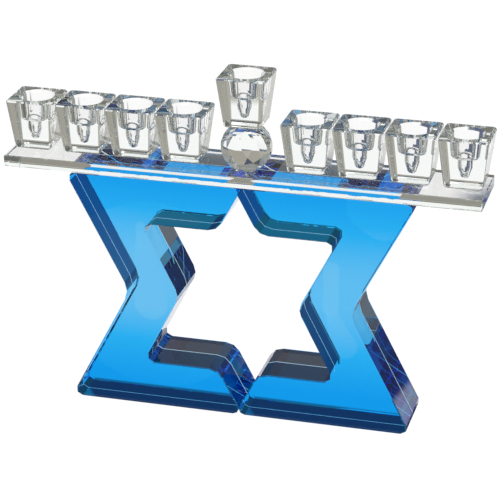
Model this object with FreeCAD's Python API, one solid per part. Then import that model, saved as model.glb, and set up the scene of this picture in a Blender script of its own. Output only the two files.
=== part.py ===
import FreeCAD, Part
import math
import os

# Menorah of clear and blue crystal: a star opening between two brackets, a bar, eight candle
# cups in a row and a ninth cup raised on a faceted ball. All sizes are in millimetres.
# Origin: floor level, middle of the stand. X runs along the bar, -Y is the front, Z is up.

# Bar
BAR_LENGTH = 282.6
BAR_WIDTH = 41.5
BAR_THICKNESS = 7.0
BAR_BEVEL = 0.5

# Brackets: each one is two plates with an adhesive layer between them
STAND_HEIGHT = 145.0
STAND_DEPTH = 38.7
MID_BOND = 0.3
BRACKET_GAP = 0.1
PLATE_BEVEL = 0.6
FOOT_HALF_SPAN = 104.6
OUTER_WAIST = 66.7
STAR_WAIST = 35.7
STAR_POINT = 58.5
STAR_RISE = 44.3
STAR_NOTCH = 12.4
STAR_APEX_RISE = 67.3

# Corner rounding of the bracket outline, cut as short flats
CORNER_FLATS = 2
R_FOOT = 3.9
R_OUTER_WAIST = 12.4
R_STAR_WAIST = 9.7
R_STAR_POINT = 3.7
R_STAR_NOTCH = 9.7
R_CENTRE = 3.5

# Candle cups
CUP_COUNT = 8
CUP_PITCH = 30.2
CUP_FIRST = 37.2
CUP_OFFSET_Y = 2.4
CUP_HEIGHT = 30.2
CUP_TOP_HALF = 14.7
CUP_BOTTOM_HALF = 11.0
CUP_EDGE_RADIUS = 2.6
CUP_RIM_BEVEL = 0.7
RECESS_MOUTH_RADIUS = 10.6
RECESS_TOP_RADIUS = 9.2
RECESS_FLOOR_RADIUS = 8.0
RECESS_DEPTH = 12.8
RECESS_FILLET = 2.3
RECESS_LIP = 1.4
BORE_RADIUS = 4.3
BORE_STRAIGHT = 5.0
BORE_TAPER = 4.0
BORE_TIP_RADIUS = 2.9

# Faceted ball under the ninth cup
BALL_RADIUS = 15.0
BALL_FLAT = 13.5
BALL_X = 2.0
BALL_Y = -5.75
BALL_TURN = 15.4
BALL_TILT = 29.0

# Adhesive layers
BAR_BOND = 0.2
CUP_BOND = 0.2
CUP_BOND_HALF = 8.2
BALL_BOND_RADIUS = 5.5

BAR_BOTTOM = STAND_HEIGHT + BAR_BOND
BAR_TOP = BAR_BOTTOM + BAR_THICKNESS


def vec(x, y, z):
    return FreeCAD.Vector(x, y, z)


def save(shape, name):
    """Writes one piece to its own file."""
    shape.exportStep("parts/%s.step" % name)


def cut_corner(before, corner, after, radius):
    """Points that replace a sharp corner with short flats along an arc of the given radius."""
    to_before = (before - corner).normalize()
    to_after = (after - corner).normalize()
    half_angle = to_before.getAngle(to_after) / 2.0
    reach = radius / math.tan(half_angle)
    centre = corner + (to_before + to_after).normalize() * (radius / math.sin(half_angle))
    start = corner + to_before * reach - centre
    end = corner + to_after * reach - centre
    points = []
    for step in range(CORNER_FLATS + 1):
        share = step / CORNER_FLATS
        spoke = (start * (1.0 - share) + end * share).normalize() * radius
        points.append(centre + spoke)
    return points


def bracket_outline():
    """Outline of the left bracket in the XZ plane, at y = 0."""
    mid = STAND_HEIGHT / 2.0
    inner = -BRACKET_GAP / 2.0
    corners = [
        (inner, 0.0, R_CENTRE),
        (-FOOT_HALF_SPAN, 0.0, R_FOOT),
        (-OUTER_WAIST, mid, R_OUTER_WAIST),
        (-FOOT_HALF_SPAN, STAND_HEIGHT, R_FOOT),
        (inner, STAND_HEIGHT, R_CENTRE),
        (inner, mid + STAR_APEX_RISE, None),
        (-STAR_NOTCH, mid + STAR_RISE, R_STAR_NOTCH),
        (-STAR_POINT, mid + STAR_RISE, R_STAR_POINT),
        (-STAR_WAIST, mid, R_STAR_WAIST),
        (-STAR_POINT, mid - STAR_RISE, R_STAR_POINT),
        (-STAR_NOTCH, mid - STAR_RISE, R_STAR_NOTCH),
        (inner, mid - STAR_APEX_RISE, None),
    ]
    places = [vec(x, 0.0, z) for x, z, _ in corners]
    outline = []
    for index, (x, z, radius) in enumerate(corners):
        if radius is None:
            outline.append(places[index])
        else:
            following = places[(index + 1) % len(places)]
            outline.extend(cut_corner(places[index - 1], places[index], following, radius))
    return outline


def slab(outline, y_start, y_end):
    """Solid with the outline as its cross-section, from y_start to y_end."""
    placed = [vec(p.x, y_start, p.z) for p in outline]
    face = Part.Face(Part.makePolygon(placed + [placed[0]]))
    return face.extrude(vec(0.0, y_end - y_start, 0.0))


def plate(outline, y_outside, y_inside):
    """One plate of a bracket, with a fine bevel round its outside face."""
    solid = slab(outline, y_outside, y_inside)
    rim = [e for e in solid.Edges if all(abs(v.Y - y_outside) < 1e-6 for v in e.Vertexes)]
    return solid.makeChamfer(PLATE_BEVEL, rim)


def mirrored(shape):
    return shape.mirror(vec(0.0, 0.0, 0.0), vec(1.0, 0.0, 0.0))


def build_brackets():
    outline = bracket_outline()
    outside = STAND_DEPTH / 2.0
    inside = MID_BOND / 2.0
    front = plate(outline, -outside, -inside)
    rear = plate(outline, outside, inside)
    bond = slab(outline, -inside, inside)
    for name, shape in (("front_plate", front), ("rear_plate", rear), ("mid_bond", bond)):
        save(shape, "left_" + name)
        save(mirrored(shape), "right_" + name)


def build_bar():
    """The bar, and the adhesive layers that hold it on the two brackets."""
    corner = vec(-BAR_LENGTH / 2.0, -BAR_WIDTH / 2.0, BAR_BOTTOM)
    bar = Part.makeBox(BAR_LENGTH, BAR_WIDTH, BAR_THICKNESS, corner)
    save(bar.makeChamfer(BAR_BEVEL, bar.Edges), "top_bar")
    # The layer stays inside the flat top of the bracket, clear of its cut corners.
    near = BRACKET_GAP / 2.0 + R_CENTRE + 1.0
    far = FOOT_HALF_SPAN - 9.0
    depth = STAND_DEPTH - 2.0 * PLATE_BEVEL - 1.0
    bond = Part.makeBox(far - near, depth, BAR_BOND, vec(near, -depth / 2.0, STAND_HEIGHT))
    save(bond, "right_bar_bond")
    save(mirrored(bond), "left_bar_bond")


def cup_body():
    """Square tapered block with rounded side and bottom edges and a bevelled rim, base at z = 0."""
    loops = []
    for half, z in ((CUP_BOTTOM_HALF, 0.0), (CUP_TOP_HALF, CUP_HEIGHT)):
        corners = [vec(-half, -half, z), vec(half, -half, z), vec(half, half, z), vec(-half, half, z)]
        loops.append(Part.makePolygon(corners + [corners[0]]))
    block = Part.makeLoft(loops, True, True)
    soft = [e for e in block.Edges if min(v.Z for v in e.Vertexes) < CUP_HEIGHT - 1e-6]
    block = block.makeFillet(CUP_EDGE_RADIUS, soft)
    rim = [e for e in block.Edges if all(abs(v.Z - CUP_HEIGHT) < 1e-6 for v in e.Vertexes)]
    return block.makeChamfer(CUP_RIM_BEVEL, rim)


def revolved(points):
    """Solid turned round the Z axis from a profile of straight sides."""
    face = Part.Face(Part.makePolygon(points + [points[0]]))
    return face.revolve(vec(0.0, 0.0, 0.0), vec(0.0, 0.0, 1.0), 360.0)


def cup_hollow():
    """The hollow of a cup: a tapered recess, a straight candle bore, a taper and a round tip."""
    floor = CUP_HEIGHT - RECESS_DEPTH
    lip = CUP_HEIGHT - RECESS_LIP
    over = CUP_HEIGHT + 1.0
    flare = (RECESS_MOUTH_RADIUS - RECESS_TOP_RADIUS) / RECESS_LIP
    recess = revolved([
        vec(0.0, 0.0, over),
        vec(RECESS_MOUTH_RADIUS + flare, 0.0, over),
        vec(RECESS_TOP_RADIUS, 0.0, lip),
        vec(RECESS_FLOOR_RADIUS, 0.0, floor),
        vec(0.0, 0.0, floor),
    ])
    foot = [e for e in recess.Edges if all(abs(v.Z - floor) < 1e-6 and v.X > 1.0 for v in e.Vertexes)]
    recess = recess.makeFillet(RECESS_FILLET, foot)
    seat = floor - BORE_STRAIGHT
    tip = seat - BORE_TAPER
    bore = revolved([
        vec(0.0, 0.0, floor + 1.0),
        vec(BORE_RADIUS, 0.0, floor + 1.0),
        vec(BORE_RADIUS, 0.0, seat),
        vec(BORE_TIP_RADIUS, 0.0, tip),
        vec(0.0, 0.0, tip),
    ])
    return recess.fuse(bore).fuse(Part.makeSphere(BORE_TIP_RADIUS, vec(0.0, 0.0, tip)))


def build_cups():
    cup = cup_body().cut(cup_hollow())
    side = 2.0 * CUP_BOND_HALF
    half_count = CUP_COUNT // 2
    for index in range(CUP_COUNT):
        step = index - half_count if index >= half_count else index - half_count + 1
        x = step * CUP_PITCH + (CUP_FIRST if index >= half_count else -CUP_FIRST)
        placed = cup.copy()
        placed.translate(vec(x, CUP_OFFSET_Y, BAR_TOP + CUP_BOND))
        save(placed, "candle_cup_%d" % (index + 1))
        corner = vec(x - CUP_BOND_HALF, CUP_OFFSET_Y - CUP_BOND_HALF, BAR_TOP)
        save(Part.makeBox(side, side, CUP_BOND, corner), "cup_bond_%d" % (index + 1))
    return cup


def ball_directions():
    """Corner points of the facets, and the direction that each facet faces, for a unit ball.

    The facets are the pentagons, hexagons and triangles that are left when a truncated
    icosahedron has every corner cut back to the middles of its edges.
    """
    golden = (1.0 + math.sqrt(5.0)) / 2.0
    tips = []
    for a in (-1.0, 1.0):
        for b in (-golden, golden):
            tips.extend([vec(0.0, a, b), vec(a, b, 0.0), vec(b, 0.0, a)])
    near = {i: [j for j in range(12) if j != i and (tips[i] - tips[j]).Length < 2.01] for i in range(12)}
    points = []
    facing = [tip for tip in tips]
    for i in range(12):
        for j in near[i]:
            facing.append(tips[i] * 2.0 + tips[j])
            if j > i:
                points.append(tips[i] + tips[j])
            for k in near[i]:
                if k > j and k in near[j]:
                    points.append(tips[i] * 4.0 + tips[j] + tips[k])
                    if j > i:
                        facing.append(tips[i] + tips[j] + tips[k])
    return [p.normalize() for p in points], [f.normalize() for f in facing]


def ball_solid():
    """The faceted ball round the origin, with its top and bottom ground flat."""
    points, facing = ball_directions()
    forward = [f for f in facing if is_hexagon(f, points)][0]
    turn = FreeCAD.Rotation(forward, vec(0.0, -1.0, 0.0))
    beside = [turn.multVec(p) for p in points if p.dot(forward) > 0.9]
    roll = 90.0 - math.degrees(math.atan2(beside[0].z, beside[0].x)) + 30.0
    turn = FreeCAD.Rotation(vec(0.0, -1.0, 0.0), roll).multiply(turn)
    turn = FreeCAD.Rotation(vec(1.0, 0.0, 0.0), -BALL_TILT).multiply(turn)
    turn = FreeCAD.Rotation(vec(0.0, 0.0, 1.0), BALL_TURN).multiply(turn)
    faces = []
    for direction in facing:
        reach = max(p.dot(direction) for p in points)
        ring = [p for p in points if p.dot(direction) > reach - 1e-6]
        along = (ring[0] - direction * ring[0].dot(direction)).normalize()
        across = direction.cross(along)
        ring.sort(key=lambda p: math.atan2(p.dot(across), p.dot(along)))
        ring = [turn.multVec(p) * BALL_RADIUS for p in ring]
        faces.append(Part.Face(Part.makePolygon(ring + [ring[0]])))
    ball = Part.makeSolid(Part.makeShell(faces))
    if ball.Volume < 0.0:
        ball.reverse()
    size = 4.0 * BALL_RADIUS
    keep = Part.makeBox(size, size, 2.0 * BALL_FLAT, vec(-size / 2.0, -size / 2.0, -BALL_FLAT))
    return ball.common(keep)


def is_hexagon(direction, points):
    reach = max(p.dot(direction) for p in points)
    return len([p for p in points if p.dot(direction) > reach - 1e-6]) == 6


def build_ball_and_shamash(cup):
    ball = ball_solid()
    base = BAR_TOP + CUP_BOND
    ball.translate(vec(BALL_X, BALL_Y, base + BALL_FLAT))
    save(ball, "faceted_ball")
    top = base + 2.0 * BALL_FLAT
    for name, z in (("ball_lower_bond", BAR_TOP), ("ball_upper_bond", top)):
        save(Part.makeCylinder(BALL_BOND_RADIUS, CUP_BOND, vec(BALL_X, BALL_Y, z)), name)
    placed = cup.copy()
    placed.translate(vec(BALL_X, BALL_Y, top + CUP_BOND))
    save(placed, "shamash_cup")


os.makedirs("parts", exist_ok=True)
build_brackets()
build_bar()
cup_shape = build_cups()
build_ball_and_shamash(cup_shape)
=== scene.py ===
"""Looks of a crystal menorah: blue laminated brackets round a star, a clear bar and nine cups.

Lengths are in metres. X runs along the bar, -Y is the front and Z is up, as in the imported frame.
"""

import logging
import math
from dataclasses import dataclass, field
from enum import Enum
from typing import Dict, List, Optional, Sequence, Tuple, Union

import bmesh
import bpy
import numpy as np
from mathutils import Matrix, Vector


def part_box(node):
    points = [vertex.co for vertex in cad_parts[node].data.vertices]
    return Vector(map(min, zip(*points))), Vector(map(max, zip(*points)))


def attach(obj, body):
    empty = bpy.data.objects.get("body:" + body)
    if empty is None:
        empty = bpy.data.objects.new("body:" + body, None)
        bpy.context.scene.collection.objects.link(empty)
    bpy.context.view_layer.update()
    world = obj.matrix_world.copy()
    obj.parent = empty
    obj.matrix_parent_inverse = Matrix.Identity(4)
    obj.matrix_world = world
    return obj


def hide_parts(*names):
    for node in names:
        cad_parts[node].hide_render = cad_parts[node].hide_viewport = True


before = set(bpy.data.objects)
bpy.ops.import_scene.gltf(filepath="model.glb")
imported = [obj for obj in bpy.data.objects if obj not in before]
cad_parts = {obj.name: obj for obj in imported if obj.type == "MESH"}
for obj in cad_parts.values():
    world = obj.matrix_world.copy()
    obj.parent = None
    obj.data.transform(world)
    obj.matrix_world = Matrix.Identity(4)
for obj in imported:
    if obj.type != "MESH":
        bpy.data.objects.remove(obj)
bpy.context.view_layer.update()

log = logging.getLogger("menorah")

MM = 0.001
BODY = "root"
OVERLAP = 0.02 * MM
WELD = 0.0001 * MM
OUTLINE_WELD = 0.001 * MM
WHITE = (1.0, 1.0, 1.0, 1.0)

Colour = Tuple[float, float, float, float]


class Slot(Enum):
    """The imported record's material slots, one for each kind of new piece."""

    CRYSTAL = "clear_crystal"
    ADHESIVE = "clear_adhesive"
    BOND = "blue_bond_line"


class Side(Enum):
    """The two halves of the stand, with the sign of X on each."""

    LEFT = -1
    RIGHT = 1


Value = Union[float, Sequence[float], "Wire", bpy.types.NodeSocket]


class Wire:
    """A node's output that takes part in Python arithmetic."""

    def __init__(self, tree: bpy.types.NodeTree, socket: bpy.types.NodeSocket) -> None:
        """Keeps the tree and the output that this wire starts from."""
        self.tree = tree
        self.socket = socket

    def _math(self, operation: str, first: Value, second: Optional[Value] = None) -> "Wire":
        """Adds one Math node.

        Args:
            operation: the Math node's operation.
            first: a number or a wire.
            second: a number or a wire, where the operation takes two.

        Returns:
            The wire of the result.
        """
        node = self.tree.nodes.new("ShaderNodeMath")
        node.operation = operation
        for place, value in enumerate((first, second)):
            if isinstance(value, Wire):
                self.tree.links.new(value.socket, node.inputs[place])
            elif value is not None:
                node.inputs[place].default_value = value
        return Wire(self.tree, node.outputs[0])

    def __add__(self, other: Value) -> "Wire":
        """Sum."""
        return self._math("ADD", self, other)

    __radd__ = __add__

    def __sub__(self, other: Value) -> "Wire":
        """Difference."""
        return self._math("SUBTRACT", self, other)

    def __rsub__(self, other: Value) -> "Wire":
        """Difference from a number."""
        return self._math("SUBTRACT", other, self)

    def __mul__(self, other: Value) -> "Wire":
        """Product."""
        return self._math("MULTIPLY", self, other)

    __rmul__ = __mul__

    def __truediv__(self, other: Value) -> "Wire":
        """Quotient."""
        return self._math("DIVIDE", self, other)

    def __neg__(self) -> "Wire":
        """Opposite."""
        return self._math("MULTIPLY", self, -1.0)

    def __abs__(self) -> "Wire":
        """Size without sign."""
        return self._math("ABSOLUTE", self)

    def power(self, exponent: float) -> "Wire":
        """The value raised to a power."""
        return self._math("POWER", self, exponent)

    def at_least(self, floor: Value) -> "Wire":
        """The larger of the value and a floor."""
        return self._math("MAXIMUM", self, floor)

    def at_most(self, ceiling: Value) -> "Wire":
        """The smaller of the value and a ceiling."""
        return self._math("MINIMUM", self, ceiling)

    def wrapped(self, low: float, high: float) -> "Wire":
        """The value carried round into a range.

        Args:
            low: start of the range.
            high: end of the range.

        Returns:
            The wire of the carried value.
        """
        made = self._math("WRAP", self, high)
        made.socket.node.inputs[2].default_value = low
        return made

    def ramp(self, start: float, end: float) -> "Wire":
        """Smooth step from 0 at start to 1 at end.

        Args:
            start: value where the result leaves 0.
            end: value where the result reaches 1.

        Returns:
            The wire of the smooth step.
        """
        share = ((self - start) / (end - start)).at_least(0.0).at_most(1.0)
        return share * share * (3.0 - 2.0 * share)


class Graph:
    """A node tree under construction, for a material or for the world."""

    def __init__(self, tree: bpy.types.NodeTree) -> None:
        """Empties the tree and keeps it."""
        self.tree = tree
        tree.nodes.clear()

    def node(self, kind: str, settings: Optional[Dict[str, object]] = None,
             inputs: Optional[Dict[Union[str, int], Value]] = None) -> bpy.types.Node:
        """Adds one node.

        Args:
            kind: the node's type name.
            settings: attributes, set before the sockets.
            inputs: values or wires by socket name or number.

        Returns:
            The new node.
        """
        made = self.tree.nodes.new(kind)
        for name, value in (settings or {}).items():
            setattr(made, name, value)
        for name, value in (inputs or {}).items():
            socket = made.inputs[name]
            if isinstance(value, Wire):
                self.tree.links.new(value.socket, socket)
            elif isinstance(value, bpy.types.NodeSocket):
                self.tree.links.new(value, socket)
            else:
                socket.default_value = value
        return made

    def wire(self, node: bpy.types.Node, output: Union[str, int] = 0) -> Wire:
        """The wire that starts at a node's output."""
        return Wire(self.tree, node.outputs[output])

    def place(self) -> Tuple[Wire, Wire, Wire, Wire]:
        """The position on the piece.

        Returns:
            The vector, and its X, Y and Z parts.
        """
        coordinates = self.node("ShaderNodeTexCoord")
        vector = self.wire(coordinates, "Object")
        parts = self.node("ShaderNodeSeparateXYZ", inputs={0: vector})
        return vector, self.wire(parts, 0), self.wire(parts, 1), self.wire(parts, 2)

    def noise(self, vector: Wire, scale: float, detail: float = 2.0) -> Wire:
        """Smooth noise between 0 and 1 at a scale in cycles per metre."""
        made = self.node("ShaderNodeTexNoise", inputs={"Vector": vector, "Scale": scale, "Detail": detail})
        return self.wire(made, 0)

    def mix(self, factor: Value, first: Value, second: Value) -> Wire:
        """Blend of two colours by a factor from 0 to 1."""
        made = self.node("ShaderNodeMix", {"data_type": "RGBA"}, {0: factor, 6: first, 7: second})
        return self.wire(made, 2)

    def bump(self, height: Wire, strength: float, distance: float) -> Wire:
        """Normal that follows a height, for a polish that is not quite flat."""
        made = self.node("ShaderNodeBump", inputs={
            "Height": height, "Strength": strength, "Distance": distance})
        return self.wire(made, 0)


def new_material(name: str) -> Tuple[bpy.types.Material, Graph]:
    """Makes an empty node material.

    Args:
        name: the material's name.

    Returns:
        The material and its graph.
    """
    material = bpy.data.materials.new(name)
    material.use_nodes = True
    return material, Graph(material.node_tree)


@dataclass(frozen=True)
class FilmContact:
    """The inner faces of a bracket's plates, where the film bonds them all over."""

    level: float = 0.155 * MM
    edge: float = 0.01 * MM

    def mask(self, x: Wire, y: Wire, z: Wire, sway: Wire) -> Wire:
        """1 where the glass is bonded and so has no surface of its own, as in PadContact."""
        return 1.0 - abs(y).ramp(self.level, self.level + self.edge)


@dataclass(frozen=True)
class PadContact:
    """Where a thin adhesive layer joins two pieces, so that neither has a surface there.

    The layer repeats along the bar on both sides when it has a pitch.
    """

    level: float
    middle: Tuple[float, float]
    half: Tuple[float, float]
    pitch: float = 0.0
    thickness: float = 0.2 * MM
    edge: float = 0.10 * MM
    sway: float = 1.0
    level_fade: Tuple[float, float] = (0.55, 0.70)
    inner_share: float = 0.49

    def mask(self, x: Wire, y: Wire, z: Wire, sway: Wire) -> Wire:
        """1 where the glass is bonded and so has no surface of its own.

        Args:
            x: place along the bar.
            y: place across the bar.
            z: height.
            sway: added to the gap, so that the outline wanders.

        Returns:
            The wire of the mask.
        """
        sure, gone = (share * self.thickness for share in self.level_fade)
        near = 1.0 - abs(z - self.level).ramp(sure, gone)
        along = x - self.middle[0]
        if self.pitch:
            outward = abs(x)
            along = (outward - self.middle[0]).wrapped(-0.5 * self.pitch, 0.5 * self.pitch)
            inner = self.middle[0] - self.inner_share * self.pitch
            near = near * outward.ramp(self.middle[0] - 0.5 * self.pitch, inner)
        gap = (abs(along) - self.half[0]).at_least(abs(y - self.middle[1]) - self.half[1])
        return near * (1.0 - (gap + sway * self.sway).ramp(-self.edge, self.edge))


Contact = Union[FilmContact, PadContact]


@dataclass(frozen=True)
class Glass:
    """Solid polished glass, tinted through its depth."""

    name: str
    ior: float
    passes: Tuple[float, float, float]
    depth: float
    ripple: float
    ripple_scale: float = 60.0
    haze: float = 0.006
    tone: float = 0.02
    contacts: Tuple[Contact, ...] = ()
    sway_scale: float = 110.0
    sway_detail: float = 3.0
    sway_size: float = 2.4 * MM
    grain_ratio: float = 9.0

    def absorption(self) -> Tuple[Tuple[float, float, float], float]:
        """Colour and density of the depth tint.

        The loss per metre of each colour is minus the logarithm of the share that passes, over the
        depth. The density is the largest loss, and the colour is one minus each loss over it.

        Returns:
            The colour and the density per metre.
        """
        loss = [-math.log(share) / self.depth for share in self.passes]
        density = max(loss)
        return tuple(1.0 - value / density for value in loss), density

    def build(self) -> bpy.types.Material:
        """Makes the material: clear transmission, a faint ripple, the depth tint and open contacts.

        Returns:
            The material.
        """
        material, graph = new_material(self.name)
        vector, x, y, z = graph.place()
        waves = graph.noise(vector, self.ripple_scale)
        grain = graph.noise(vector, self.ripple_scale * self.grain_ratio)
        soft = (1.0 - self.tone, 1.0 - self.tone, 1.0 - self.tone, 1.0)
        colour = graph.mix(grain, WHITE, soft)
        surface = graph.node("ShaderNodeBsdfPrincipled", inputs={
            "Base Color": colour,
            "Roughness": grain * self.haze,
            "Normal": graph.bump(waves, self.ripple, MM),
        })
        surface.inputs["Transmission Weight"].default_value = 1.0
        surface.inputs["IOR"].default_value = self.ior
        if self.contacts:
            sway = (graph.noise(vector, self.sway_scale, self.sway_detail) - 0.5) * self.sway_size
            bonded = self.contacts[0].mask(x, y, z, sway)
            for contact in self.contacts[1:]:
                bonded = bonded.at_least(contact.mask(x, y, z, sway))
            graph.tree.links.new((1.0 - bonded).socket, surface.inputs["Alpha"])
        tint, density = self.absorption()
        depth = graph.node("ShaderNodeVolumeAbsorption")
        depth.inputs["Color"].default_value = (*tint, 1.0)
        depth.inputs["Density"].default_value = density
        output = graph.node("ShaderNodeOutputMaterial")
        graph.tree.links.new(surface.outputs[0], output.inputs["Surface"])
        graph.tree.links.new(depth.outputs[0], output.inputs["Volume"])
        return material


@dataclass(frozen=True)
class Pool:
    """A pool of adhesive between two plates, as a rounded shape that tapers from one end to the other."""

    start: Tuple[float, float]
    end: Tuple[float, float]
    start_radius: float
    end_radius: float
    lift: float = 0.12
    edge: float = 0.35 * MM

    def inside(self, x: Wire, z: Wire, sway: Wire) -> Wire:
        """How far a place is inside the pool.

        The share along the pool is the place's projection on its middle line, held between 0 and 1.
        The gap is the distance to that point of the line, less the radius there.

        Args:
            x: place along the bar.
            z: height.
            sway: added to the gap, so that the outline wanders.

        Returns:
            The wire that is 1 inside the pool and 0 outside.
        """
        run_x, run_z = self.end[0] - self.start[0], self.end[1] - self.start[1]
        off_x, off_z = x - self.start[0], z - self.start[1]
        length = run_x * run_x + run_z * run_z
        share = ((off_x * run_x + off_z * run_z) / length).at_least(0.0).at_most(1.0)
        far_x, far_z = off_x - share * run_x, off_z - share * run_z
        reach = share * (self.end_radius - self.start_radius) + self.start_radius
        gap = (far_x * far_x + far_z * far_z).power(0.5) - reach + sway
        return 1.0 - gap.ramp(-self.edge, self.edge)


POOLS = (
    Pool((-0.0625, 0.110), (-0.0570, 0.061), 0.0028, 0.0105, 0.15),
    Pool((-0.0550, 0.067), (-0.0540, 0.066), 0.0590, 0.0590, 0.10),
    Pool((0.0530, 0.095), (0.0530, 0.070), 0.0048, 0.0046, 0.14),
    Pool((0.0535, 0.067), (0.0605, 0.047), 0.0040, 0.0085, 0.12),
    Pool((0.0760, 0.136), (0.0830, 0.132), 0.0150, 0.0155, 0.12),
)


@dataclass(frozen=True)
class TintedFilm:
    """The blue adhesive layer between two plates: pale at mid height and deeper above and below."""

    name: str
    middle: float = 0.080
    reach: float = 0.0725
    fade: Tuple[float, float] = (0.05, 1.15)
    ior: float = 1.0
    pale: Colour = (0.17, 0.62, 0.97, 1.0)
    medium: Colour = (0.020, 0.50, 0.97, 1.0)
    deep: Colour = (0.0, 0.38, 0.92, 1.0)
    sway_scale: float = 45.0
    sway_detail: float = 1.0
    sway_size: float = 2.2 * MM
    base_depth: float = 0.12

    def build(self) -> bpy.types.Material:
        """Makes the material: a tint that deepens up and down, lighter in the pools of adhesive.

        Returns:
            The material.
        """
        material, graph = new_material(self.name)
        vector, x, _, z = graph.place()
        rise = abs(z - self.middle) / self.reach
        sway = (graph.noise(vector, self.sway_scale, self.sway_detail) - 0.5) * self.sway_size
        depth = rise.ramp(*self.fade)
        for pool in POOLS:
            depth = depth - pool.inside(x, z, sway) * pool.lift
        depth = (depth + self.base_depth).at_least(0.0).at_most(1.0)
        half_way = graph.mix((depth * 2.0).at_most(1.0), self.pale, self.medium)
        tint = graph.mix((depth * 2.0 - 1.0).at_least(0.0), half_way, self.deep)
        surface = graph.node("ShaderNodeBsdfPrincipled", inputs={"Base Color": tint, "Roughness": 0.0})
        surface.inputs["Transmission Weight"].default_value = 1.0
        surface.inputs["IOR"].default_value = self.ior
        output = graph.node("ShaderNodeOutputMaterial")
        graph.tree.links.new(surface.outputs[0], output.inputs["Surface"])
        return material


@dataclass(frozen=True)
class BondEdge:
    """The edge of an adhesive layer, drawn as a fine pale line that glows faintly: a real edge with a
    painted highlight.
    """

    name: str
    colour: Colour = (0.50, 0.76, 0.95, 1.0)
    # Emission strength of the painted highlight along the edge.
    painted_glow: float = 0.75
    patch_scale: float = 90.0
    shade_share: float = 0.6
    roughness: float = 0.35

    def build(self) -> bpy.types.Material:
        """Makes the material: pale and glowing faintly as a painted highlight, slightly uneven along its
        length.

        Returns:
            The material.
        """
        material, graph = new_material(self.name)
        vector, _, _, _ = graph.place()
        patch = graph.noise(vector, self.patch_scale)
        shade = tuple(self.shade_share * part for part in self.colour[:3]) + (1.0,)
        colour = graph.mix(patch, shade, self.colour)
        surface = graph.node("ShaderNodeBsdfPrincipled", inputs={
            "Base Color": colour, "Roughness": self.roughness, "Emission Color": colour})
        surface.inputs["Emission Strength"].default_value = self.painted_glow
        output = graph.node("ShaderNodeOutputMaterial")
        graph.tree.links.new(surface.outputs[0], output.inputs["Surface"])
        return material


def add_mesh(name: str, points: np.ndarray, faces: List[Sequence[int]],
             materials: Sequence[bpy.types.Material],
             smooth_angle: Optional[float] = None) -> bpy.types.Object:
    """Puts points and faces into a new object at the origin.

    Coincident points are merged and normals are made to point outwards.

    Args:
        name: the object's name.
        points: array of positions, one row each.
        faces: corner numbers of each face.
        materials: the object's materials in order.
        smooth_angle: edges flatter than this many degrees are shaded smooth; None leaves all flat.

    Returns:
        The object.
    """
    mesh = bpy.data.meshes.new(name)
    mesh.from_pydata(points.tolist(), [], faces)
    work = bmesh.new()
    work.from_mesh(mesh)
    bmesh.ops.remove_doubles(work, verts=work.verts, dist=WELD)
    bmesh.ops.recalc_face_normals(work, faces=work.faces)
    work.to_mesh(mesh)
    work.free()
    for material in materials:
        mesh.materials.append(material)
    if smooth_angle is not None:
        mesh.polygons.foreach_set("use_smooth", np.ones(len(mesh.polygons), dtype=bool))
        mesh.set_sharp_from_angle(angle=math.radians(smooth_angle))
    mesh.update()
    made = bpy.data.objects.new(name, mesh)
    bpy.context.scene.collection.objects.link(made)
    return made


def grid_faces(rings: int, around: int) -> List[Tuple[int, int, int, int]]:
    """Quads that join each ring of points to the next one, closed round the ring.

    Args:
        rings: number of rings.
        around: points in a ring.

    Returns:
        The corner numbers of each quad.
    """
    ring, step = np.meshgrid(np.arange(rings - 1), np.arange(around), indexing="ij")
    after = (step + 1) % around
    corners = np.stack([ring * around + step, ring * around + after,
                        (ring + 1) * around + after, (ring + 1) * around + step], axis=-1)
    return [tuple(row) for row in corners.reshape(-1, 4).tolist()]


def hand_over(piece: bpy.types.Object, slot: Slot, *nodes: str) -> None:
    """Joins a piece to the frame in place of its CAD nodes and reports it.

    Args:
        piece: the new object.
        slot: the record's material slot; not used.
        nodes: names of the CAD nodes that it stands for.
    """
    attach(piece, BODY)
    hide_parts(*nodes)
    log.info("%s stands for %s, %d faces", piece.name, ", ".join(nodes), len(piece.data.polygons))


def dress_node(name: str, material: bpy.types.Material) -> None:
    """Gives a carried-over CAD node a finished material.

    Args:
        name: the node's name.
        material: its finish.
    """
    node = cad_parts[name]
    node.data.materials.clear()
    node.data.materials.append(material)
    log.info("%s keeps its CAD shape, with %s", name, material.name)


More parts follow.
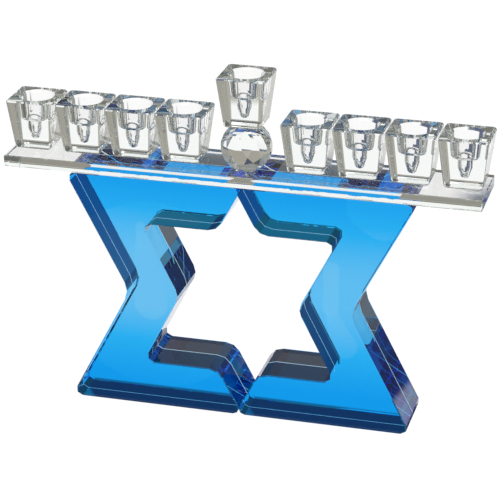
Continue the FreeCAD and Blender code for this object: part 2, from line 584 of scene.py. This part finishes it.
@dataclass
class CandleCup:
    """A square tapered cup with a wide recess and a candle bore."""

    glass: bpy.types.Material
    height: float = 30.2 * MM
    top_half: float = 14.7 * MM
    bottom_half: float = 11.0 * MM
    edge_radius: float = 2.6 * MM
    rim_bevel: float = 0.7 * MM
    mouth_radius: float = 10.6 * MM
    recess_top: float = 9.2 * MM
    recess_floor: float = 8.0 * MM
    recess_lip: float = 1.4 * MM
    recess_depth: float = 12.8 * MM
    recess_fillet: float = 2.3 * MM
    bore_radius: float = 4.3 * MM
    bore_bevel: float = 0.35 * MM
    bore_straight: float = 5.0 * MM
    bore_taper: float = 4.0 * MM
    tip_radius: float = 2.9 * MM
    corner_steps: int = 14
    arc_steps: int = 8
    smooth_angle: float = 32.0
    even_weight: int = 100

    def outer_rings(self) -> np.ndarray:
        """Rings of the outside, from the middle of the base up to the rim.

        Each row is (reach, radius, height): a ring is a square of half-width reach, grown outwards
        by radius with round corners. A round edge keeps its reach while its radius follows a cosine.

        Returns:
            The rows from bottom to top.
        """
        radius = self.edge_radius
        slope = (self.top_half - self.bottom_half) / self.height
        low_reach = self.bottom_half + slope * radius - radius
        high_reach = self.top_half - radius
        turn = np.linspace(-0.5 * math.pi, -math.atan(slope), self.arc_steps)
        edge = np.stack([np.full_like(turn, low_reach), radius * np.cos(turn),
                         radius + radius * np.sin(turn)], 1)
        start = np.array([[0.0, 0.0, 0.0]])
        shoulder = self.height - self.rim_bevel
        rim = np.array([
            [high_reach - slope * self.rim_bevel, radius, shoulder],
            [high_reach - slope * self.rim_bevel, radius - self.rim_bevel, self.height],
        ])
        return np.concatenate([start, edge, rim])

    def inner_rings(self) -> np.ndarray:
        """Rings of the hollow, from its mouth down to its round tip, as in outer_rings.

        The recess wall leans by the angle whose tangent is the change of radius over its height. The
        fillet's centre is one fillet radius from the leaning wall and from the floor.

        Returns:
            The rows from the mouth to the tip.
        """
        floor = self.height - self.recess_depth
        seat = floor - self.bore_straight
        tip = seat - self.bore_taper
        lean = math.atan((self.recess_top - self.recess_floor) / (self.recess_depth - self.recess_lip))
        fillet = self.recess_fillet
        centre = self.recess_floor + fillet * math.tan(lean) - fillet / math.cos(lean)
        bowl_turn = np.linspace(lean, 0.5 * math.pi, self.arc_steps)
        tip_turn = np.linspace(0.0, 0.5 * math.pi, self.arc_steps)
        radius = np.concatenate([
            [self.mouth_radius, self.recess_top], centre + fillet * np.cos(bowl_turn),
            [self.bore_radius + self.bore_bevel, self.bore_radius, self.bore_radius],
            self.tip_radius * np.cos(tip_turn)])
        height = np.concatenate([
            [self.height, self.height - self.recess_lip], floor + fillet - fillet * np.sin(bowl_turn),
            [floor, floor - self.bore_bevel, seat], tip - self.tip_radius * np.sin(tip_turn)])
        return np.stack([np.zeros_like(radius), radius, height], 1)

    def surface(self, foot: Vector) -> Tuple[np.ndarray, int, int]:
        """Points of the whole cup as rings of equal length.

        The corner angles run from 0 to 90 degrees in each quarter, and each point is the quarter's
        corner of the square of half-width reach, plus the ring's radius along its angle.

        Args:
            foot: the middle of the base.

        Returns:
            The points, the number of rings and the points in a ring.
        """
        rings = np.concatenate([self.outer_rings(), self.inner_rings()])
        quarter = np.arange(4).repeat(self.corner_steps + 1)
        within = np.tile(np.linspace(0.0, 0.5 * math.pi, self.corner_steps + 1), 4)
        angle = within + quarter * 0.5 * math.pi
        middle = (quarter + 0.5) * 0.5 * math.pi
        corner = np.stack([np.sign(np.cos(middle)), np.sign(np.sin(middle))], 1)
        spoke = np.stack([np.cos(angle), np.sin(angle)], 1)
        flat = rings[:, None, 0:1] * corner[None] + rings[:, None, 1:2] * spoke[None]
        level = np.broadcast_to(rings[:, 2][:, None, None], (len(rings), len(angle), 1))
        points = np.concatenate([flat, level], 2).reshape(-1, 3) + np.array(foot)
        return points, len(rings), len(angle)

    def build(self, node: str) -> bpy.types.Object:
        """Builds one cup where its CAD node stands.

        Args:
            node: name of the CAD node.

        Returns:
            The cup.
        """
        low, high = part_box(node)
        foot = Vector(((low.x + high.x) / 2.0, (low.y + high.y) / 2.0, low.z))
        points, rings, around = self.surface(foot)
        piece = add_mesh(node + "_glass", points, grid_faces(rings, around), [self.glass],
                         self.smooth_angle)
        even = piece.modifiers.new("even_faces", "WEIGHTED_NORMAL")
        even.keep_sharp = True
        even.weight = self.even_weight
        hand_over(piece, Slot.CRYSTAL, node)
        return piece


@dataclass
class AdhesivePad:
    """A thin pad of clear adhesive with a wavy outline, pressed between two faces."""

    adhesive: bpy.types.Material
    seed: int = 5
    points_around: int = 96
    waves: Tuple[int, ...] = (2, 3, 5, 7, 11)
    wave_size: float = 0.035
    corner_power: float = 8.0

    def build(self, node: str, squareness: float, order: int) -> bpy.types.Object:
        """Builds one pad over its CAD node.

        The outline is a rounded square: the half-width over the corner_power root of the sum of the
        cosine and the sine, each raised to corner_power. It is blended by squareness with a circle,
        and drawn in by a few sine waves of random phase.

        Args:
            node: name of the CAD node.
            squareness: 0 for a round pad and 1 for a square one.
            order: number of the pad, which picks its waves.

        Returns:
            The pad.
        """
        low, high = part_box(node)
        half = np.array([(high.x - low.x) / 2.0, (high.y - low.y) / 2.0])
        centre = np.array([(high.x + low.x) / 2.0, (high.y + low.y) / 2.0])
        angle = np.linspace(0.0, 2.0 * math.pi, self.points_around, endpoint=False)
        draw = np.random.default_rng(self.seed + order)
        phase = draw.uniform(0.0, 2.0 * math.pi, len(self.waves))
        ripple = np.sin(np.outer(angle, self.waves) + phase).mean(axis=1)
        spoke = np.stack([np.cos(angle), np.sin(angle)], 1)
        square = (np.abs(spoke) ** self.corner_power).sum(axis=1) ** (-1.0 / self.corner_power)
        reach = ((1.0 - squareness) + squareness * square) * (1.0 + self.wave_size * (ripple * 2.0 - 1.0))
        outline = centre + spoke * reach[:, None] * half
        under, over = low.z - OVERLAP, high.z + OVERLAP
        levels = [(0.0, under), (1.0, under), (1.0, over), (0.0, over)]
        rings = [np.column_stack([centre + (outline - centre) * share, np.full(len(outline), level)])
                 for share, level in levels]
        points = np.concatenate(rings)
        piece = add_mesh(node + "_pad", points, grid_faces(len(rings), len(outline)), [self.adhesive])
        hand_over(piece, Slot.ADHESIVE, node)
        return piece


@dataclass
class BracketBond:
    """The adhesive layer between the two plates of a bracket, with its pale edge."""

    film: bpy.types.Material
    edge: bpy.types.Material
    half_thickness: float = 0.3 * MM
    inset: float = 0.05 * MM
    front_normal: float = -0.9
    edge_normal: float = 0.5

    def outline(self, node: str) -> np.ndarray:
        """The outline of the CAD layer in X and Z, in order round it.

        The loose triangles of the layer's front face share each inner edge, so the edges that occur
        once are the outline, and they are walked from corner to corner.

        Args:
            node: name of the CAD node.

        Returns:
            Rows of X and Z.
        """
        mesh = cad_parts[node].data
        work = bmesh.new()
        work.from_mesh(mesh)
        bmesh.ops.remove_doubles(work, verts=work.verts, dist=OUTLINE_WELD)
        front = [face for face in work.faces if face.normal.y < self.front_normal]
        inner = set(front)
        border = [edge for edge in {e for face in front for e in face.edges}
                  if sum(1 for face in edge.link_faces if face in inner) == 1]
        joined: Dict[int, List[bmesh.types.BMVert]] = {}
        for edge in border:
            first, second = edge.verts
            joined.setdefault(first.index, []).append(second)
            joined.setdefault(second.index, []).append(first)
        start = border[0].verts[0]
        walk = [start, joined[start.index][0]]
        while True:
            options = [v for v in joined[walk[-1].index] if v.index != walk[-2].index]
            if options[0].index == start.index:
                break
            walk.append(options[0])
        rows = np.array([(v.co.x, v.co.z) for v in walk])
        work.free()
        return rows

    def build(self, side: Side) -> bpy.types.Object:
        """Builds the layer: two faces of film and an edge set just inside the plates' walls.

        Args:
            side: which bracket.

        Returns:
            The layer.
        """
        node = side.name.lower() + "_mid_bond"
        rows = inset_outline(self.outline(node), self.inset)
        count = len(rows)
        points = np.concatenate([
            np.column_stack([rows[:, 0], np.full(count, -self.half_thickness), rows[:, 1]]),
            np.column_stack([rows[:, 0], np.full(count, self.half_thickness), rows[:, 1]]),
        ])
        faces: List[Sequence[int]] = list(grid_faces(2, count))
        faces.append(tuple(range(count)))
        faces.append(tuple(range(2 * count - 1, count - 1, -1)))
        piece = add_mesh(node + "_layer", points, faces, [self.film, self.edge])
        flat = np.zeros(len(piece.data.polygons) * 3)
        piece.data.polygons.foreach_get("normal", flat)
        on_edge = np.abs(flat.reshape(-1, 3)[:, 1]) < self.edge_normal
        piece.data.polygons.foreach_set("material_index", on_edge.astype(np.int32))
        hand_over(piece, Slot.BOND, node)
        return piece


def inset_outline(rows: np.ndarray, depth: float) -> np.ndarray:
    """Moves every side of a closed outline inwards by the same depth.

    Each corner goes along the sum of its two sides' inward normals, by depth over one plus their
    dot product.

    Args:
        rows: corners in order.
        depth: how far each side moves.

    Returns:
        The moved corners.
    """
    after = np.roll(rows, -1, axis=0) - rows
    after /= np.linalg.norm(after, axis=1)[:, None]
    area = np.sum(rows[:, 0] * np.roll(rows[:, 1], -1) - np.roll(rows[:, 0], -1) * rows[:, 1])
    inward = np.stack([-after[:, 1], after[:, 0]], 1) * np.sign(area)
    before = np.roll(inward, 1, axis=0)
    stretch = 1.0 + np.sum(before * inward, axis=1)
    return rows + (before + inward) * (depth / stretch)[:, None]


@dataclass
class BarBond:
    """The adhesive layer between a bracket and the bar, a little short of the bracket's edges."""

    adhesive: bpy.types.Material
    seed: int = 40
    waves: Tuple[int, ...] = (3, 5, 9, 14)
    wave_size: float = 0.012

    def build(self, side: Side) -> bpy.types.Object:
        """Builds the layer over its CAD node."""
        pad = AdhesivePad(self.adhesive, seed=self.seed, waves=self.waves, wave_size=self.wave_size)
        return pad.build(side.name.lower() + "_bar_bond", 1.0, side.value + 1)


@dataclass
class Studio:
    """Floor, lights, surroundings and camera."""

    yaw: float = math.radians(15.354)
    pitch: float = math.radians(23.005)
    roll: float = math.radians(-0.216)
    distance: float = 1.2953
    aim: Tuple[float, float, float] = (0.0, 0.0, 0.1)
    lens: float = 159.03
    shift: Tuple[float, float] = (0.0073, -0.0041)
    clip_start: float = 10.0 * MM
    floor_radius: float = 1.3
    floor_drop: float = 0.05 * MM
    floor_base: Colour = (0.03, 0.03, 0.03, 1.0)
    floor_roughness: float = 0.9
    grain_scale: float = 300.0
    grain_shade: Colour = (0.98, 0.98, 0.98, 1.0)
    # The following fields, up to the table's glow, place the table's painted shade and painted shadow, which
    # only rays through the glass see.
    foot_fade_x: Tuple[float, float] = (1.0, 1.12)
    foot_fade_y: Tuple[float, float] = (1.0, 1.2)
    floor_sides: int = 96
    bright_reach: Tuple[float, float] = (0.95, 1.01)
    dim_side: Tuple[float, float] = (0.06, 0.12)
    dim_start: Tuple[float, float] = (0.62, 0.70)
    front_reach: Tuple[float, float] = (0.020, 0.024)
    front_stop: Tuple[float, float] = (0.36, 0.42)
    front_far_shade: Colour = (0.60, 0.57, 0.52, 1.0)
    front_shade: Colour = (0.13, 0.125, 0.115, 1.0)
    right_reach: Tuple[float, float] = (0.055, 0.085)
    right_start: Tuple[float, float] = (0.12, 0.16)
    right_lean: float = 0.5
    right_edge: Tuple[float, float] = (-0.005, 0.025)
    left_stop: Tuple[float, float] = (0.34, 0.40)
    left_reach: Tuple[float, float] = (0.30, 0.36)
    left_shade: Colour = (0.24, 0.23, 0.20, 1.0)
    right_shade: Colour = (0.08, 0.105, 0.18, 1.0)
    foot_shade: Colour = (0.045, 0.045, 0.058, 1.0)
    far_table_shade: Colour = (0.43, 0.41, 0.36, 1.0)
    table_glow: float = 1.03
    soft_light_front: float = -0.1
    soft_light_height: float = 1.2
    soft_light_size: float = 0.7
    soft_light_power: float = 2.0
    room_front: Colour = (0.42, 0.40, 0.36, 1.0)
    room_back: Colour = (0.30, 0.29, 0.26, 1.0)
    room_horizon: Colour = (0.13, 0.18, 0.30, 1.0)
    room_behind: Colour = (0.40, 0.38, 0.33, 1.0)
    horizon_side: Tuple[float, float, float, float] = (0.38, 0.42, 0.49, 0.53)
    horizon_rise: Tuple[float, float] = (0.06, 0.10)
    room_right: Colour = (0.13, 0.13, 0.12, 1.0)
    room_left: Colour = (0.10, 0.10, 0.11, 1.0)
    left_side: Tuple[float, float] = (0.20, 0.26)
    left_rise: Tuple[float, float, float, float] = (0.02, 0.06, 0.25, 0.29)
    right_side: Tuple[float, float] = (0.0, 0.14)
    room_top: Colour = (0.34, 0.32, 0.28, 1.0)
    horizon_reach: Tuple[float, float] = (0.08, 0.30)
    top_reach: Tuple[float, float] = (0.50, 0.70)
    # The card behind the stand is a sheet of painted shade, dark and glowing faintly, hidden from the
    # camera.
    flag_span: Tuple[float, float] = (-0.36, 0.06)
    flag_rise: Tuple[float, float] = (0.172, 0.245)
    flag_back: float = 0.45
    card_shade_scale: float = 200.0
    card_shade_dark: Colour = (0.03, 0.04, 0.06, 1.0)
    card_shade_light: Colour = (0.05, 0.06, 0.10, 1.0)
    behind_reach: Tuple[float, float] = (-0.2, 0.5)
    glass_bounces: int = 32
    mirror_bounces: int = 16

    def camera(self) -> None:
        """Places the camera on its sight line, turned by its roll."""
        data = bpy.data.cameras.new("camera")
        data.lens = self.lens
        data.shift_x, data.shift_y = self.shift
        data.clip_start = self.clip_start
        made = bpy.data.objects.new("camera", data)
        bpy.context.scene.collection.objects.link(made)
        back = Vector((math.sin(self.yaw) * math.cos(self.pitch),
                       -math.cos(self.yaw) * math.cos(self.pitch), math.sin(self.pitch)))
        right = Vector((math.cos(self.yaw), math.sin(self.yaw), 0.0))
        up = back.cross(right)
        across = right * math.cos(self.roll) + up * math.sin(self.roll)
        above = up * math.cos(self.roll) - right * math.sin(self.roll)
        made.matrix_world = Matrix.Translation(Vector(self.aim) + back * self.distance) @ Matrix(
            (across, above, back)).transposed().to_4x4()
        bpy.context.scene.camera = made

    def floor(self) -> None:
        """A round glowing table, evenly pale where it is seen directly.

        Every other ray, such as one that has passed through the glass, sees painted shade instead: darker
        zones in front, to the sides and far off, and a painted shadow under the stand.
        They are placed for one viewpoint, to darken the glass walls, and are not a real fall-off of light.
        """
        material, graph = new_material("pale_table")
        vector, x, y, _ = graph.place()
        _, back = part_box("right_rear_plate")
        # Painted shadow on the table under the stand, which only rays through the glass see.
        inside = 1.0 - (abs(x) / back.x).ramp(*self.foot_fade_x)
        inside = inside * (1.0 - (abs(y) / back.y).ramp(*self.foot_fade_y))
        far = (x * x + y * y).power(0.5)
        grain = graph.noise(vector, self.grain_scale)
        near = graph.mix(grain, self.grain_shade, WHITE)
        # Painted shade: the table dims to a darker beige far off and towards the right rear.
        dim_zone = (x.ramp(*self.dim_side) * y.ramp(*self.dim_start)).at_least(far.ramp(*self.bright_reach))
        far_shaded = graph.mix(dim_zone, near, self.far_table_shade)
        # Painted shade to the right rear, to the left and in front, seen only through the glass.
        aside = x.ramp(*self.right_reach) * y.ramp(*self.right_start)
        wedge = (x - y * self.right_lean).ramp(*self.right_edge)
        aside = aside * wedge.at_least(1.0 - y.ramp(*self.left_stop))
        left = (-x).ramp(*self.left_reach) * (1.0 - y.ramp(*self.left_stop))
        side_shaded = graph.mix(left, graph.mix(aside, far_shaded, self.right_shade), self.left_shade)
        front = graph.mix((-y).ramp(*self.front_stop), self.front_shade, self.front_far_shade)
        shaded = graph.mix((-y).ramp(*self.front_reach), side_shaded, front)
        # The painted shadow under the stand goes over the other painted shade.
        through = graph.mix(inside, shaded, self.foot_shade)
        sight = graph.wire(graph.node("ShaderNodeLightPath"), "Is Camera Ray")
        colour = graph.mix(sight, through, near)
        surface = graph.node("ShaderNodeBsdfPrincipled", inputs={
            "Base Color": self.floor_base, "Roughness": self.floor_roughness, "Emission Color": colour})
        surface.inputs["Specular IOR Level"].default_value = 0.0
        surface.inputs["Emission Strength"].default_value = self.table_glow
        output = graph.node("ShaderNodeOutputMaterial")
        graph.tree.links.new(surface.outputs[0], output.inputs["Surface"])
        angle = np.linspace(0.0, 2.0 * math.pi, self.floor_sides, endpoint=False)
        points = np.column_stack([np.cos(angle), np.sin(angle), np.zeros_like(angle)]) * self.floor_radius
        points[:, 2] = -self.floor_drop
        made = add_mesh("table", points, [tuple(range(self.floor_sides))], [material])

    def flag(self) -> None:
        """A dark card behind the stand, which the camera does not see but the low glass does: a sheet of
        painted shade that glows faintly.
        """
        material, graph = new_material("painted_shade_card")
        vector, _, _, _ = graph.place()
        # Painted shade: a dark, faintly glowing colour, uneven at random, that the glass shows as shade
        # behind the piece.
        card_shade = graph.mix(graph.noise(vector, self.card_shade_scale), self.card_shade_dark, self.card_shade_light)
        surface = graph.node("ShaderNodeBsdfPrincipled", inputs={
            "Base Color": card_shade, "Roughness": self.floor_roughness, "Emission Color": card_shade})
        surface.inputs["Emission Strength"].default_value = 1.0
        output = graph.node("ShaderNodeOutputMaterial")
        graph.tree.links.new(surface.outputs[0], output.inputs["Surface"])
        (left, right), (low, high) = self.flag_span, self.flag_rise
        corners = [(left, low), (right, low), (right, high), (left, high)]
        points = np.array([(x, self.flag_back, z) for x, z in corners])
        made = add_mesh("card", points, [(0, 1, 2, 3)], [material])
        made.visible_camera = False

    def lights(self) -> None:
        """One large, weak soft light overhead; most of the light comes from the table and the room."""
        data = bpy.data.lights.new("overhead", "AREA")
        data.shape = "SQUARE"
        data.size = self.soft_light_size
        data.energy = self.soft_light_power
        made = bpy.data.objects.new("overhead", data)
        made.location = (0.0, self.soft_light_front, self.soft_light_height)
        made.visible_camera = False
        bpy.context.scene.collection.objects.link(made)

    def surroundings(self) -> None:
        """A room that is white where it is seen directly.

        Every other ray sees greys with a bluish patch and a dark patch behind the piece, placed for one
        viewpoint, as the table's zones are.
        """
        world = bpy.data.worlds.new("room")
        world.use_nodes = True
        bpy.context.scene.world = world
        graph = Graph(world.node_tree)
        coordinates = graph.node("ShaderNodeTexCoord")
        parts = graph.node("ShaderNodeSeparateXYZ", inputs={0: graph.wire(coordinates, "Generated")})
        x, y, z = (graph.wire(parts, axis) for axis in range(3))
        behind = y.ramp(*self.behind_reach)
        blue_patch = x.ramp(*self.horizon_side[:2]) * (1.0 - x.ramp(*self.horizon_side[2:]))
        blue_patch = blue_patch * (1.0 - abs(z).ramp(*self.horizon_rise))
        skyline = graph.mix(blue_patch, self.room_behind, self.room_horizon)
        upper = graph.mix(x.ramp(*self.right_side), self.room_back, self.room_right)
        level = graph.mix(abs(z).ramp(*self.horizon_reach), skyline, upper)
        dark_patch = (-x).ramp(*self.left_side) * z.ramp(*self.left_rise[:2])
        dark_patch = dark_patch * (1.0 - z.ramp(*self.left_rise[2:]))
        low = graph.mix(dark_patch, level, self.room_left)
        high = graph.mix(z.ramp(*self.top_reach), low, self.room_top)
        room = graph.mix(behind, self.room_front, high)
        sight = graph.node("ShaderNodeLightPath")
        seen = graph.mix(graph.wire(sight, "Is Camera Ray"), room, WHITE)
        background = graph.node("ShaderNodeBackground", inputs={"Color": seen})
        output = graph.node("ShaderNodeOutputWorld")
        graph.tree.links.new(background.outputs[0], output.inputs[0])

    def build(self) -> None:
        """Sets the whole studio."""
        self.camera()
        self.floor()
        self.flag()
        self.lights()
        self.surroundings()
        scene = bpy.context.scene
        scene.view_settings.view_transform = "Standard"
        scene.cycles.max_bounces = self.glass_bounces
        scene.cycles.transmission_bounces = self.glass_bounces
        scene.cycles.glossy_bounces = self.mirror_bounces
        scene.cycles.transparent_max_bounces = self.glass_bounces


BAR_CONTACT = PadContact(145.1 * MM, (50.1 * MM, 1.0 * MM), (43.0 * MM, 10.5 * MM), 200.0 * MM, sway=4.5)
CUP_CONTACT = PadContact(152.3 * MM, (37.2 * MM, 2.4 * MM), (8.2 * MM, 8.2 * MM), 30.2 * MM)
BALL_FOOT_CONTACT = PadContact(152.3 * MM, (2.0 * MM, -5.75 * MM), (4.9 * MM, 4.9 * MM))
BALL_TOP_CONTACT = PadContact(179.5 * MM, (2.0 * MM, -5.75 * MM), (4.9 * MM, 4.9 * MM))


@dataclass
class Menorah:
    """The whole piece, put together from its sub-assemblies."""

    cups: int = 8
    glass: Dict[str, bpy.types.Material] = field(default_factory=dict)

    def finishes(self) -> None:
        """Makes every finish."""
        self.glass = {
            "clear": Glass("clear_crystal", 1.52, (0.94, 0.97, 0.955), 0.04, 0.02,
                           contacts=(BAR_CONTACT, CUP_CONTACT, BALL_FOOT_CONTACT, BALL_TOP_CONTACT)).build(),
            "plate": Glass("blue_crystal", 1.52, (0.86, 0.90, 0.955), 0.04, 0.006, 25.0,
                           contacts=(FilmContact(), BAR_CONTACT)).build(),
            "adhesive": Glass("clear_adhesive", 1.0, (0.90, 0.93, 0.92), 0.002, 0.05, 250.0).build(),
            "film": TintedFilm("bond_film").build(),
            "edge": BondEdge("bond_edge").build(),
        }

    def build(self) -> None:
        """Builds and dresses every piece."""
        self.finishes()
        for side in Side:
            name = side.name.lower()
            for plate in ("front", "rear"):
                dress_node(f"{name}_{plate}_plate", self.glass["plate"])
            BracketBond(self.glass["film"], self.glass["edge"]).build(side)
            BarBond(self.glass["adhesive"]).build(side)
        dress_node("top_bar", self.glass["clear"])
        dress_node("faceted_ball", self.glass["clear"])
        cup = CandleCup(self.glass["clear"])
        pad = AdhesivePad(self.glass["adhesive"])
        for number in range(1, self.cups + 1):
            cup.build(f"candle_cup_{number}")
            pad.build(f"cup_bond_{number}", 1.0, number)
        cup.build("shamash_cup")
        for order, node in enumerate(("ball_lower_bond", "ball_upper_bond")):
            pad.build(node, 0.0, self.cups + 1 + order)


def main() -> None:
    """Builds the studio and the menorah, logging each piece as it is made."""
    logging.basicConfig(level=logging.INFO, format="%(name)s: %(message)s")
    Studio().build()
    Menorah().build()


if __name__ == "__main__":
    main()
